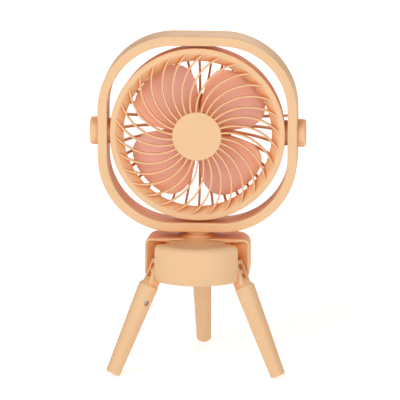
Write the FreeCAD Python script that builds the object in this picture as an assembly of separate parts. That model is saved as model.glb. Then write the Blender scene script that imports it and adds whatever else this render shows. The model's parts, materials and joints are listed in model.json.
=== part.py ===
import FreeCAD, Part
import math
import os

# Portable camping fan: a tilting round fan head in a rounded square hoop,
# which swivels on a round battery base that stands on three splayed folding legs.
# Millimetres, +Z up, the fan blows towards -Y. While it is built, the Z axis is the
# swivel axis of the neck. The finished set is moved along Y so that the origin lies
# under the middle of its box, on the surface that it stands on.

V = FreeCAD.Vector
ORIGIN = V(0, 0, 0)
AXIS_X = V(1, 0, 0)
AXIS_Y = V(0, 1, 0)
AXIS_Z = V(0, 0, 1)

# Overall sizes
HOOP_HALF = 85.3        # half the outer width of the hoop
BASE_R = 46.0           # outer radius of the round base
BASE_BOTTOM = 80.5      # underside of the base
BASE_HEIGHT = 32.5      # from the underside to the top beside the collar
BASE_TOP = BASE_BOTTOM + BASE_HEIGHT
LEG_LENGTH = 95.0       # hinge pin to the end of a leg, along the leg
LEG_SPLAY = 25.0        # degrees from upright, legs opened

# Clearances
RUN = 0.05              # radial, between a shaft and its hole
PLAY = 0.15             # between flat faces that slide on each other
EASE = 0.3              # between mouldings that only nest
HOOP_LIFT = 3.0         # from the top of the collar to the hoop
HEAD_GAP = 2.0          # between the ring and the hoop, at the pivots
TIP_GAP = 13.0          # from the ring's outer edge in to the blade tips

# Hoop
HOOP_BAND = 8.3         # thickness of the band
HOOP_DEPTH = 30.0       # front to back
HOOP_CORNER = 65.0      # outer corner radius
HOOP_WALL = 1.8
HOOP_EDGE = 1.2         # rounding of the outer edges
HOOP_SCREW_R = 1.25

# Fan head, in its own frame: x to the right, y up, z towards the front
HEAD_R = HOOP_HALF - HOOP_BAND - HEAD_GAP   # outer radius of the front ring
RING_FRONT = 14.0       # front of the flat rim
RING_THICK = 2.8
RING_FLAT = 4.7         # width of the flat rim
DISH_WIDTH = 7.0        # width of the conical dish inside the rim
DISH_DEPTH = 5.0
DISH_WALL = 1.6
SHELL_WALL = 2.0
SHELL_STEP = 1.0        # the rear shell is this much smaller in radius than the ring
SHELL_DEPTH = 18.0      # straight part of the rear shell
DOME_DEPTH = 21.0       # domed part of the rear shell
DOME_THICK = 4.0
HUB_R = 21.0            # plain disc in the middle of the front grille
HUB_FRONT = 21.0
HUB_CAP_T = 1.2
RIB_FRONT = 20.6        # front of the ribs where they meet the hub
HUB_PLATE_T = 3.6
FRONT_RIBS = 30
FRONT_RIB_W = 1.6
FRONT_RIB_D = 4.4
FRONT_RIB_START = -14.7  # degrees from straight up at the hub, growing clockwise
FRONT_RIB_MIDDLE = -3.5
FRONT_RIB_END = 16.8
REAR_RIBS = 36
REAR_RIB_W = 1.9
REAR_CENTRE_R = 27.0
REAR_PLATE_T = 1.6
MOTOR_COVER_R = 25.0
MOTOR_COVER_T = 5.5
MOTOR_R = 16.0
MOTOR_LENGTH = 12.0
MOTOR_SCREW_PCD = 20.0
SHAFT_R = 1.5
BEARING_R = 4.0
BEARING_T = 3.0

# Blades
BLADES = 4
BLADE_R = HEAD_R - TIP_GAP
BLADE_T = 1.6
BLADE_SPREAD = 42.0     # half the angle that a blade covers, in degrees
BLADE_DROP = 15.0       # from the leading edge to the trailing edge, along the axis
BLADE_HUB_R = 18.0
BLADE_HUB_LENGTH = 19.0
BLADE_HUB_FRONT = 8.0
BLADE_TURN = 48.0       # degrees from straight up to the middle of the first blade

# Tilt pivots
CAP_R = 12.0
CAP_PROUD = 7.1
BOSS_R = 10.85
PIVOT_SCREW_R = 2.5
PIVOT_HEAD_R = 4.2
BUSH_WALL = 1.2
TAB_ABOVE = 15.5        # the side tab, above the tilt axis
TAB_T = 0.9

# Neck
COLLAR_TOP = BASE_TOP + 5.0
TILT_Z = COLLAR_TOP + HOOP_LIFT + HOOP_HALF   # height of the tilt axis, the middle of hoop and head
COLLAR_R = 13.6
COLLAR_FLARE_R = 24.0
COLLAR_FLARE_Z = BASE_TOP + 1.0
COLLAR_FOOT_R = 31.0
POST_R = 8.5
POST_BORE_R = 4.0
POST_BOTTOM = BASE_TOP - 9.5
NECK_WALL = 3.0
RING_GROOVE = 0.8       # depth of the groove for the retaining ring
RETAINER_T = 1.0
RETAINER_R = 11.0

# Base
BASE_WALL = 2.0
BEAD = 4.5              # rounding of the upper edge
PLATE_T = 2.5
PLATE_EDGE = 2.3
NOTCH_HALF = 7.4        # half the width of a leg notch
NOTCH_FLOOR_R = BASE_R - 17.5
LEG_TURNS = (-60.0, 60.0, 180.0)
LEG_NAMES = ("left", "right", "rear")
BASE_SCREW_FRONT = (20.0, 13.0 - BASE_R)
BASE_SCREW_BACK = (BASE_R - 9.5, 15.5)
BASE_SCREW_PLACES = [(side * x, y) for x, y in (BASE_SCREW_FRONT, BASE_SCREW_BACK) for side in (-1, 1)]
BASE_SCREW_R = 1.4
SCREW_BOSS_R = 3.4

# Saddle over the base
SADDLE_HALF = BASE_R - 1.0
SADDLE_WALL = 2.2
SADDLE_FRONT = -16.0
SADDLE_BACK = 15.0
SADDLE_TOP = BASE_TOP + 2.6
SADDLE_BOTTOM = BASE_BOTTOM + 2.0
SADDLE_CORNER_FRONT = 5.0
SADDLE_CORNER_BACK = 10.0
SADDLE_EDGE = 1.2
SADDLE_FOOT_CORNER = 4.5
BRIDGE_T = 0.9          # the saddle's thin middle, under the collar

# Leg joints: the hinge pin lies across a leg, PIVOT_R from the neck axis
PIVOT_R = BASE_R - 4.1
PIVOT_Z = BASE_BOTTOM + 7.5
KNUCKLE_W = 13.0
KNUCKLE_OUT = 3.9       # from the leg's middle line to the block's outer face
KNUCKLE_IN = 6.2        # and to its inner face
KNUCKLE_UP = 10.0       # above the hinge pin, along the leg
KNUCKLE_EDGE = 1.5
SLOT_W = 5.4
SLOT_HALF = 6.2
LUG_W = 5.0
LUG_R = 2.9
PIN_R = 1.5
RIM_DOWN = 13.0         # hinge pin to the top of the tube
TUBE_TOP_R = 8.65
TUBE_FOOT_R = 6.45
TUBE_WALL = 2.3
SPIGOT_R = 6.2
SPIGOT_LENGTH = 22.0
FOOT_EDGE = 1.8
LEG_SCREW_DOWN = 15.0   # below the tube's top
LEG_SCREW_R = 1.4
LEG_SCREW_HEAD_R = 2.3

# Power pack and controls
CELL_R = 9.2
CELL_LENGTH = 65.0
CELL_Y = 5.0
CRADLE_WALL = 1.2
TAB_METAL_T = 0.3
BOARD_T = 1.6
BOARD_Z = BASE_BOTTOM + 15.5
BOARD_FRONT_Y = 15.5
BOARD_HALF = BASE_R - 15.0
CONTROL_TURN = 38.0     # degrees each side of the back
CONTROL_Z = BOARD_Z + 3.0
BUTTON_R = 6.0
BUTTON_PROUD = 1.4
BUTTON_TRAVEL = 0.8
STEM_R = 1.4
SWITCH_SIZE = 6.0
SWITCH_DEPTH = 5.0
SOCKET_W = 8.94
SOCKET_H = 3.2
SOCKET_DEPTH = 7.3
SOCKET_WALL = 0.3
WINDOWS = 4
WINDOW_R = 1.0
WINDOW_PITCH = 4.4      # degrees
WINDOW_TURN = 14.0      # degrees from the back to the first window


def cylinder(radius, length, base, direction=AXIS_Z):
    return Part.makeCylinder(radius, length, base, direction)


def tube(outer, inner, length, base, direction=AXIS_Z):
    return cylinder(outer, length, base, direction).cut(cylinder(inner, length, base, direction))


def block(x0, x1, y0, y1, z0, z1):
    return Part.makeBox(x1 - x0, y1 - y0, z1 - z0, V(x0, y0, z0))


def fuse(shapes):
    return shapes[0].multiFuse(shapes[1:]).removeSplitter()


def turned(edges):
    """Solid of revolution about Z of a closed outline in the XZ plane."""
    return Part.Face(Part.Wire(edges)).revolve(ORIGIN, AXIS_Z, 360)


def outline(points):
    """Straight edges through (x, z) points in the XZ plane, closed."""
    ring = [V(x, 0, z) for x, z in points]
    ring.append(ring[0])
    return [Part.makeLine(a, b) for a, b in zip(ring, ring[1:])]


def arc(a, b, c):
    """Arc in the XZ plane through three (x, z) points."""
    return Part.Arc(V(a[0], 0, a[1]), V(b[0], 0, b[1]), V(c[0], 0, c[1])).toShape()


def line(a, b):
    return Part.makeLine(V(a[0], 0, a[1]), V(b[0], 0, b[1]))


def polar(radius, degrees):
    """(x, y) at an angle measured clockwise from +y."""
    angle = math.radians(degrees)
    return radius * math.sin(angle), radius * math.cos(angle)


def around_z(shape, degrees):
    copy = shape.copy()
    copy.rotate(ORIGIN, AXIS_Z, degrees)
    return copy


def head_place(shape):
    """From the head's own frame to the fan: its z becomes -Y, its y becomes Z."""
    copy = shape.copy()
    copy.rotate(ORIGIN, AXIS_X, 90)
    copy.translate(V(0, 0, TILT_Z))
    return copy


def mirrored_pair(shape):
    """The shape and its mirror image on the other side of x = 0."""
    return Part.makeCompound([shape, shape.mirror(ORIGIN, AXIS_X)])


def pan_screw(head_radius, head_height, shank_radius, shank_length, seat, direction):
    """A screw whose head sits on seat and whose shank runs along direction."""
    back = direction * -head_height
    head = cylinder(head_radius, head_height, seat + back, direction)
    socket = cylinder(head_radius * 0.45, head_height * 0.5, seat + back, direction)
    shank = cylinder(shank_radius, shank_length, seat, direction)
    return head.cut(socket).fuse(shank).removeSplitter()


# Hoop

def rounded_square(half, corner, y0, y1):
    """Solid between y0 and y1 with a rounded square outline about the tilt axis."""
    flat = half - corner
    tip = flat + corner * math.sqrt(0.5)
    edges = []
    for quarter in range(4):
        start = V(half, y0, -flat)
        end = V(half, y0, flat)
        middle = V(tip, y0, tip)
        after = V(flat, y0, half)
        for edge in (Part.makeLine(start, end), Part.Arc(end, middle, after).toShape()):
            edge.rotate(V(0, y0, 0), AXIS_Y, -90 * quarter)
            edges.append(edge)
    body = Part.Face(Part.Wire(Part.__sortEdges__(edges))).extrude(V(0, y1 - y0, 0))
    body.translate(V(0, 0, TILT_Z))
    return body


def hoop_ring(outset, y0, y1, thickness):
    """A band whose outer face lies outset inside the hoop's own outer face."""
    outer = rounded_square(HOOP_HALF - outset, HOOP_CORNER - outset, y0, y1)
    inner = rounded_square(HOOP_HALF - outset - thickness, HOOP_CORNER - outset - thickness, y0, y1)
    return outer.cut(inner)


def hoop_holes():
    """Everything that is cut through the band: the neck post and the two pivots."""
    bottom = TILT_Z - HOOP_HALF
    cuts = [cylinder(POST_R, HOOP_BAND, V(0, 0, bottom - 1))]
    flange = POST_R + 3.0
    cuts.append(block(-flange, flange, -flange, flange, bottom + HOOP_WALL, bottom + HOOP_BAND - HOOP_WALL))
    for side in (-1, 1):
        start = V(side * (HOOP_HALF - HOOP_BAND - 1), 0, TILT_Z)
        cuts.append(cylinder(PIVOT_SCREW_R + RUN + BUSH_WALL, HOOP_BAND + 2, start, AXIS_X * side))
    return cuts


def hoop_screw_places():
    """Points of the band's middle line where screws join the two shells."""
    flat = HOOP_HALF - HOOP_CORNER
    reach = flat + (HOOP_CORNER - HOOP_BAND / 2) * math.sqrt(0.5)
    return [(sx * reach, TILT_Z + sz * reach) for sx in (-1, 1) for sz in (-1, 1)]


def hoop_shell(front):
    """Half of the hollow band, as deep as half the hoop, with pivot and screw posts."""
    half = HOOP_DEPTH / 2
    y0, y1 = (-half, 0.0) if front else (0.0, half)
    band = hoop_ring(0, y0, y1, HOOP_BAND)
    face = y0 if front else y1
    rims = [e for e in band.Edges
            if abs(e.BoundBox.YMin - face) < 1e-6 and abs(e.BoundBox.YMax - face) < 1e-6]
    band = band.makeFillet(HOOP_EDGE, rims)
    c0, c1 = (y0 + HOOP_WALL, 0.0) if front else (0.0, y1 - HOOP_WALL)
    cavity = hoop_ring(HOOP_WALL, c0, c1, HOOP_BAND - 2 * HOOP_WALL)
    blocks = []
    for side in (-1, 1):
        start = V(side * (HOOP_HALF - HOOP_BAND), 0, TILT_Z)
        blocks.append(cylinder(PIVOT_SCREW_R + BUSH_WALL + 2.5, HOOP_BAND, start, AXIS_X * side))
    for x, z in hoop_screw_places():
        blocks.append(cylinder(HOOP_BAND / 2 - 0.2, HOOP_DEPTH, V(x, -half, z), AXIS_Y))
    cavity = cavity.cut(blocks[0].multiFuse(blocks[1:]))
    shell = band.cut(cavity)
    for cut in hoop_holes():
        shell = shell.cut(cut)
    for x, z in hoop_screw_places():
        if front:
            shell = shell.cut(cylinder(HOOP_SCREW_R, half - HOOP_WALL, V(x, -half + HOOP_WALL, z), AXIS_Y))
        else:
            shell = shell.cut(cylinder(HOOP_SCREW_R + RUN, half, V(x, 0, z), AXIS_Y))
            shell = shell.cut(cylinder(2.3, half, V(x, half - 4.0, z), AXIS_Y))
    return shell


def hoop_screws():
    half = HOOP_DEPTH / 2
    length = half - 4.0 + half - HOOP_WALL - 1.0
    screws = []
    for x, z in hoop_screw_places():
        screws.append(pan_screw(2.1, 1.5, HOOP_SCREW_R, length, V(x, half - 4.0, z), V(0, -1, 0)))
    return Part.makeCompound(screws)


# Tilt pivots

def pivot_screw():
    """Shoulder screw from the hoop's outer face into the head's boss, on the +X side."""
    seat = V(HOOP_HALF + PLAY, 0, TILT_Z)
    length = HOOP_HALF + PLAY - (HEAD_R - 9.0)
    return pan_screw(PIVOT_HEAD_R, 3.0, PIVOT_SCREW_R, length, seat, V(-1, 0, 0))


def pivot_bush():
    start = V(HOOP_HALF - HOOP_BAND, 0, TILT_Z)
    return tube(PIVOT_SCREW_R + RUN + BUSH_WALL, PIVOT_SCREW_R + RUN, HOOP_BAND, start, AXIS_X)


def pivot_washer():
    """Friction washer between the head's boss and the inside of the hoop."""
    inside = HOOP_HALF - HOOP_BAND
    start = V(HEAD_R + 0.3 + PLAY, 0, TILT_Z)
    return tube(BOSS_R, PIVOT_SCREW_R + RUN, inside - start.x, start, AXIS_X)


def pivot_cap():
    """Plain round knob that covers the pivot screw and is fixed to the hoop."""
    cap = cylinder(CAP_R, CAP_PROUD, V(HOOP_HALF, 0, TILT_Z), AXIS_X)
    rims = [e for e in cap.Edges if e.BoundBox.XMin > HOOP_HALF + CAP_PROUD - 1e-6]
    cap = cap.makeFillet(2.2, rims)
    room = cylinder(PIVOT_HEAD_R + EASE, 3.0 + PLAY + EASE, V(HOOP_HALF, 0, TILT_Z), AXIS_X)
    return cap.cut(room)


def side_tab():
    """Thin plate moulded on the right of the head, in the gap to the hoop (head frame)."""
    inner = math.sqrt((HEAD_R - SHELL_STEP) ** 2 - TAB_ABOVE ** 2) - 1.0
    return block(inner, HOOP_HALF - HOOP_BAND - 0.4, TAB_ABOVE, TAB_ABOVE + TAB_T, 2.0, 8.0)


# Fan head

def front_height(radius):
    """Front of the grille's ribs: a shallow cone from the hub to the ring."""
    fall = (RIB_FRONT - RING_FRONT - 0.2) / (HEAD_R - RING_FLAT - HUB_R)
    return RIB_FRONT - fall * (radius - HUB_R)


def front_ribs():
    """Curved radial ribs that sweep clockwise on their way out."""
    inner = HUB_R - 3.0
    outer = HEAD_R - RING_FLAT + 0.2
    middle = (inner + outer) / 2
    plate_front = HUB_FRONT - HUB_CAP_T
    shallow = outline([
        (inner - 2, front_height(inner - 2) - FRONT_RIB_D),
        (outer, front_height(outer) - FRONT_RIB_D),
        (outer, front_height(outer)),
        (HUB_R + 0.15, front_height(HUB_R)),
        (HUB_R + 0.15, plate_front),
        (inner - 2, plate_front),
    ])
    layer = turned(shallow)
    a = V(*polar(inner, FRONT_RIB_START), 0)
    b = V(*polar(middle, FRONT_RIB_MIDDLE), 0)
    c = V(*polar(outer, FRONT_RIB_END), 0)
    spine = Part.Arc(a, b, c).toShape().Curve
    centre = spine.Center
    half = FRONT_RIB_W / 2
    sides = []
    for offset in (-half, half):
        points = [centre + (p - centre) * ((spine.Radius + offset) / spine.Radius) for p in (a, b, c)]
        sides.append(points)
    strip = Part.Wire([
        Part.Arc(*sides[0]).toShape(),
        Part.makeLine(sides[0][2], sides[1][2]),
        Part.Arc(*reversed(sides[1])).toShape(),
        Part.makeLine(sides[1][0], sides[0][0]),
    ])
    rib = Part.Face(strip).extrude(V(0, 0, HUB_FRONT + 5)).common(layer)
    return [around_z(rib, 360.0 / FRONT_RIBS * k) for k in range(FRONT_RIBS)]


def front_grille():
    outer = HEAD_R
    flat = HEAD_R - RING_FLAT
    throat = flat - DISH_WIDTH
    back = RING_FRONT - RING_THICK
    edge = 0.8
    rim = turned(outline([
        (outer, back),
        (outer, RING_FRONT - edge),
        (outer - edge, RING_FRONT),
        (flat, RING_FRONT),
        (throat, RING_FRONT - DISH_DEPTH),
        (throat, RING_FRONT - DISH_DEPTH - DISH_WALL),
        (flat - 1.3, back),
    ]))
    skirt_r = HEAD_R - SHELL_STEP - SHELL_WALL - EASE
    skirt = tube(skirt_r, skirt_r - 1.6, 5.0, V(0, 0, back - 4.8))
    plate_front = HUB_FRONT - HUB_CAP_T
    hub = tube(HUB_R, 14.0, HUB_PLATE_T, V(0, 0, plate_front - HUB_PLATE_T))
    return fuse([rim, skirt, hub] + front_ribs()).cut(grille_screw_hole())


def hub_cap():
    """Plain blank disc, with a plug that snaps into the hub plate."""
    plate_front = HUB_FRONT - HUB_CAP_T
    disc = cylinder(HUB_R, HUB_CAP_T, V(0, 0, plate_front))
    rims = [e for e in disc.Edges if e.BoundBox.ZMin > HUB_FRONT - 1e-6]
    disc = disc.makeFillet(0.7, rims)
    plug = tube(14.0 - RUN, 11.5, HUB_PLATE_T - 0.4, V(0, 0, plate_front - HUB_PLATE_T + 0.4))
    return disc.fuse(plug).removeSplitter()


def dome_points(offset):
    """Arc through three (r, z) points of the dome, moved in by offset."""
    wall_r = HEAD_R - SHELL_STEP
    top = RING_FRONT - RING_THICK - SHELL_DEPTH
    bottom = top - DOME_DEPTH
    centre_r = REAR_CENTRE_R
    return (
        (wall_r - offset, top),
        (wall_r - 16.0 - 0.7 * offset, top - 0.75 * DOME_DEPTH + 0.7 * offset),
        (centre_r, bottom + offset),
    )


def rear_shell():
    """Round rear housing: straight wall, radial ribs over the dome, and a motor plate."""
    wall_r = HEAD_R - SHELL_STEP
    front = RING_FRONT - RING_THICK
    top = front - SHELL_DEPTH
    bottom = top - DOME_DEPTH
    wall = tube(wall_r, wall_r - SHELL_WALL, SHELL_DEPTH + 2.0, V(0, 0, top - 2.0))
    outer = dome_points(0)
    inner = dome_points(DOME_THICK)
    dome = turned([
        arc(*outer),
        line(outer[2], inner[2]),
        arc(*reversed(inner)),
        line(inner[0], outer[0]),
    ])
    bars = []
    for k in range(REAR_RIBS):
        bar = block(REAR_CENTRE_R - 3, HEAD_R, -REAR_RIB_W / 2, REAR_RIB_W / 2, bottom - 1, top + 1)
        bars.append(around_z(bar, 360.0 / REAR_RIBS * k).common(dome))
    crown = turned([
        arc(*outer),
        line(outer[2], (REAR_CENTRE_R - 4, bottom)),
        line((REAR_CENTRE_R - 4, bottom), (REAR_CENTRE_R - 4, bottom + DOME_THICK)),
        line((REAR_CENTRE_R - 4, bottom + DOME_THICK), inner[2]),
        arc(*reversed(inner)),
        line(inner[0], outer[0]),
    ])
    shoulder = crown.common(tube(wall_r + 1, wall_r - 5.0, 4.0, V(0, 0, top - 3.5)))
    middle = crown.common(cylinder(REAR_CENTRE_R + 1.0, DOME_DEPTH, V(0, 0, bottom - 1)))
    plate = cylinder(REAR_CENTRE_R - 2.0, REAR_PLATE_T, V(0, 0, bottom + DOME_THICK - REAR_PLATE_T))
    shell = fuse([wall, shoulder, middle, plate] + bars)
    for angle in range(3):
        x, y = polar(MOTOR_SCREW_PCD / 2, 120.0 * angle)
        shell = shell.cut(cylinder(1.1, 10.0, V(x, y, bottom)))
    shell = shell.cut(cylinder(BEARING_R + RUN, 10.0, V(0, 0, bottom)))
    boss_x = HEAD_R - 9.0
    for side in (-1, 1):
        outside = cylinder(BOSS_R, 3.0, V(side * (HEAD_R + 0.3 - 3.0), 0, 0), AXIS_X * side)
        ring = tube(wall_r + 3.0, wall_r - 0.5, 30.0, V(0, 0, -15.0))
        inside = cylinder(6.5, wall_r - boss_x, V(side * boss_x, 0, 0), AXIS_X * side)
        shell = shell.fuse(outside.common(ring)).fuse(inside)
        shell = shell.cut(cylinder(PIVOT_SCREW_R, 12.0, V(side * (boss_x - 1), 0, 0), AXIS_X * side))
    return shell.fuse(side_tab()).cut(grille_screw_hole()).removeSplitter()


def grille_screw_seat():
    return V(0, -(HEAD_R - SHELL_STEP), RING_FRONT - RING_THICK - 2.6)


def grille_screw_hole():
    return cylinder(1.3, 6.0, grille_screw_seat() + V(0, -1, 0), AXIS_Y)


def grille_screw():
    """Short radial screw at the bottom that locks the front grille to the rear shell."""
    seat = grille_screw_seat() + V(0, -0.1, 0)
    return pan_screw(2.2, 1.2, 1.25, SHELL_WALL + 1.6, seat, AXIS_Y)


def motor_levels():
    """Back of the motor, its front, and the rear plane of the head."""
    bottom = RING_FRONT - RING_THICK - SHELL_DEPTH - DOME_DEPTH
    back = bottom + DOME_THICK
    return back, back + MOTOR_LENGTH, bottom


def motor_can():
    back, front, bottom = motor_levels()
    can = cylinder(MOTOR_R, MOTOR_LENGTH, V(0, 0, back))
    can = can.makeFillet(1.0, [e for e in can.Edges if e.BoundBox.ZMin > front - 1e-6])
    can = can.cut(cylinder(BEARING_R, MOTOR_LENGTH, V(0, 0, back)))
    for angle in range(3):
        x, y = polar(MOTOR_SCREW_PCD / 2, 120.0 * angle)
        can = can.cut(cylinder(1.0, 5.0, V(x, y, back)))
    return can


def motor_bearings():
    back, front, bottom = motor_levels()
    levels = (back + 0.2, front - BEARING_T - 0.2)
    rings = [tube(BEARING_R, SHAFT_R + RUN, BEARING_T, V(0, 0, z)) for z in levels]
    return Part.makeCompound(rings)


def motor_screws():
    back, front, bottom = motor_levels()
    screws = []
    for angle in range(3):
        x, y = polar(MOTOR_SCREW_PCD / 2, 120.0 * angle)
        screws.append(pan_screw(1.9, 1.2, 1.0, REAR_PLATE_T + 4.0, V(x, y, back - REAR_PLATE_T), AXIS_Z))
    return Part.makeCompound(screws)


def motor_cover():
    """Round cap on the back of the head, over the motor's screws."""
    back, front, bottom = motor_levels()
    cap = cylinder(MOTOR_COVER_R, MOTOR_COVER_T, V(0, 0, bottom - MOTOR_COVER_T))
    cap = cap.makeFillet(2.5, [e for e in cap.Edges if e.BoundBox.ZMax < bottom - MOTOR_COVER_T + 1e-6])
    room = cylinder(REAR_CENTRE_R - 5.5, MOTOR_COVER_T - 2.0, V(0, 0, bottom - MOTOR_COVER_T + 2.0))
    spigot = tube(REAR_CENTRE_R - 4.0 - EASE, REAR_CENTRE_R - 6.0, 3.2, V(0, 0, bottom - 1.0))
    return fuse([cap.cut(room), spigot])


def blade(turn):
    """Broad rounded blade: a loft through upright sections at even angles."""
    shares = [-1.0, -0.93, -0.82, -0.65, -0.45, -0.22, 0.0, 0.22, 0.45, 0.65, 0.82, 0.93, 1.0]
    span = 2 * BLADE_SPREAD
    middle = BLADE_HUB_FRONT - BLADE_HUB_LENGTH / 2
    root = BLADE_HUB_R - 3.0
    sections = []
    for share in shares:
        degrees = BLADE_SPREAD * share
        radius = root + (BLADE_R - root) * math.sqrt(1.0 - 0.93 * abs(share) ** 4)
        z = middle - BLADE_DROP * degrees / span
        half = BLADE_T / 2
        corners = [(root, z - half), (radius, z - half), (radius, z + half), (root, z + half)]
        points = [V(*polar(r, turn + degrees), h) for r, h in corners]
        sections.append(Part.makePolygon(points + [points[0]]))
    return Part.makeLoft(sections, True, False)


def fan_blades():
    back = BLADE_HUB_FRONT - BLADE_HUB_LENGTH
    hub = cylinder(BLADE_HUB_R, BLADE_HUB_LENGTH, V(0, 0, back))
    hub = hub.makeFillet(3.0, [e for e in hub.Edges if e.BoundBox.ZMin > BLADE_HUB_FRONT - 1e-6])
    room = cylinder(BLADE_HUB_R - 2.0, BLADE_HUB_LENGTH - 4.0, V(0, 0, back))
    stem = cylinder(4.0, BLADE_HUB_LENGTH - 6.0, V(0, 0, back + 3.0))
    blades = [blade(BLADE_TURN + 360.0 / BLADES * k) for k in range(BLADES)]
    core = cylinder(BLADE_HUB_R - 1.0, BLADE_HUB_LENGTH, V(0, 0, back))
    wheel = fuse([hub.cut(room), stem] + [b.cut(core) for b in blades])
    return wheel.cut(cylinder(SHAFT_R, BLADE_HUB_LENGTH - 2.0, V(0, 0, back)))


def motor_shaft():
    back, front, bottom = motor_levels()
    return cylinder(SHAFT_R, BLADE_HUB_FRONT - 3.0 - back, V(0, 0, back))


# Neck

def swivel_top():
    return TILT_Z - HOOP_HALF


def neck_post():
    """Hollow post clamped in the hoop, turning in the base's neck bearing."""
    flange_bottom = swivel_top() + HOOP_WALL
    flange_top = swivel_top() + HOOP_BAND - HOOP_WALL
    side = POST_R + 3.0 - RUN
    flange = block(-side, side, -side, side, flange_bottom + RUN, flange_top - RUN)
    post = cylinder(POST_R - RUN, flange_bottom + 1 - POST_BOTTOM, V(0, 0, POST_BOTTOM))
    post = post.fuse(flange)
    post = post.cut(cylinder(POST_BORE_R, flange_top - POST_BOTTOM, V(0, 0, POST_BOTTOM)))
    groove = tube(POST_R + 1, POST_R - RING_GROOVE, RETAINER_T + 2 * RUN, V(0, 0, retainer_level() - RUN))
    return post.cut(groove).removeSplitter()


def bearing_bottom():
    return POST_BOTTOM + 2.6


def retainer_level():
    return bearing_bottom() - PLAY - RETAINER_T


def neck_retaining_ring():
    ring = tube(RETAINER_R, POST_R - RING_GROOVE + RUN, RETAINER_T, V(0, 0, retainer_level()))
    gap = block(-2.0, 2.0, 0, RETAINER_R + 1, retainer_level() - 1, retainer_level() + RETAINER_T + 1)
    return ring.cut(gap)


def swivel_washer():
    """Friction washer that carries the hoop on the collar."""
    return tube(POST_R + 3.0, POST_R + RUN, swivel_top() - COLLAR_TOP - PLAY, V(0, 0, COLLAR_TOP + PLAY))


def collar_bell(outset):
    """Bell with a concave flare, made larger all over by outset."""
    shoulder = 1.3
    bore = POST_R + RUN
    top = COLLAR_TOP + outset
    waist = COLLAR_R + outset
    flare = (COLLAR_FLARE_R + outset, COLLAR_FLARE_Z + outset)
    foot = (COLLAR_FOOT_R + outset, BASE_TOP + 0.2 + outset)
    round_end = (waist, top - shoulder)
    knee = (waist + 2.6, flare[1] + 1.5)
    return turned([
        line((bore, BASE_TOP), (bore, top)),
        line((bore, top), (waist - shoulder, top)),
        arc((waist - shoulder, top), (waist - shoulder * 0.293, top - shoulder * 0.293), round_end),
        arc(round_end, knee, flare),
        line(flare, foot),
        line(foot, (foot[0], BASE_TOP)),
        line((foot[0], BASE_TOP), (bore, BASE_TOP)),
    ])


def neck_collar():
    """Bell shaped collar on top of the base, with a channel for the saddle's thin middle."""
    bell = collar_bell(0)
    y0 = SADDLE_FRONT - EASE
    y1 = SADDLE_BACK + EASE
    side = COLLAR_FOOT_R + 1
    channel = block(-side, side, y0, y1, BASE_TOP - 1, BASE_TOP + BRIDGE_T + RUN)
    bell = bell.cut(channel.cut(cylinder(COLLAR_R, 20.0, V(0, 0, BASE_TOP - 5))))
    sides = block(-side, side, y0, y1, BASE_TOP - 1, COLLAR_TOP)
    return bell.cut(sides.cut(cylinder(COLLAR_FLARE_R - 1, 20.0, V(0, 0, BASE_TOP - 5))))


# Base

def side_flats():
    """Block that leaves room for the saddle's sides beside the round base."""
    flat = SADDLE_HALF - SADDLE_WALL - EASE / 2
    return block(-flat, flat, -BASE_R - 1, BASE_R + 1, BASE_BOTTOM - 1, BASE_TOP + 1)


def notch(extra, z0, z1):
    """The three leg notches, with walls of the given thickness added all round."""
    floor = NOTCH_FLOOR_R - extra
    half = NOTCH_HALF + extra
    cut = block(-half, half, -BASE_R - 5, -floor, z0, z1)
    return [around_z(cut, turn) for turn in LEG_TURNS]


def base_body():
    """Outer form of the base above its bottom plate, with the upper bead."""
    bottom = BASE_BOTTOM + PLATE_T
    edge = min(BEAD, 0.2 * (BASE_TOP - bottom))
    profile = turned([
        line((0, bottom), (BASE_R, bottom)),
        line((BASE_R, bottom), (BASE_R, BASE_TOP - edge)),
        arc((BASE_R, BASE_TOP - edge),
            (BASE_R - edge * 0.293, BASE_TOP - edge * 0.293),
            (BASE_R - edge, BASE_TOP)),
        line((BASE_R - edge, BASE_TOP), (0, BASE_TOP)),
        line((0, BASE_TOP), (0, bottom)),
    ])
    body = profile.common(side_flats())
    for cut in notch(0, bottom - 1, BASE_TOP + 1):
        body = body.cut(cut)
    return body


def hinge_lug():
    """Tongue of the leg pointing to -Y: from the notch floor out to the hinge pin."""
    floor = NOTCH_FLOOR_R - 0.5
    low = PIVOT_Z - LUG_R - 0.6
    profile = [
        (floor, low),
        (PIVOT_R - 1.2, low),
        (PIVOT_R - 2.2, PIVOT_Z + 2.4),
        (PIVOT_R - 3.4, PIVOT_Z + 5.0),
        (PIVOT_R - 8.5, PIVOT_Z + 16.0),
        (NOTCH_FLOOR_R + 1.7, BASE_TOP - 1.5),
        (floor, BASE_TOP - 1.5),
    ]
    points = [V(-LUG_W / 2, -r, z) for r, z in profile]
    plate = Part.Face(Part.makePolygon(points + [points[0]])).extrude(V(LUG_W, 0, 0))
    eye = cylinder(LUG_R, LUG_W, V(-LUG_W / 2, -PIVOT_R, PIVOT_Z), AXIS_X)
    hole = cylinder(PIN_R + RUN, LUG_W + 2, V(-LUG_W / 2 - 1, -PIVOT_R, PIVOT_Z), AXIS_X)
    return plate.fuse(eye).cut(hole).removeSplitter()


def control_frame(shape, turn):
    """Moves a shape from the frame of the back (outwards is +Y) round to its turn."""
    return around_z(shape, turn)


def screw_bosses():
    bottom = BASE_BOTTOM + PLATE_T
    return [cylinder(SCREW_BOSS_R, BASE_TOP - bottom - 1.0, V(x, y, bottom)) for x, y in BASE_SCREW_PLACES]


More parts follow.
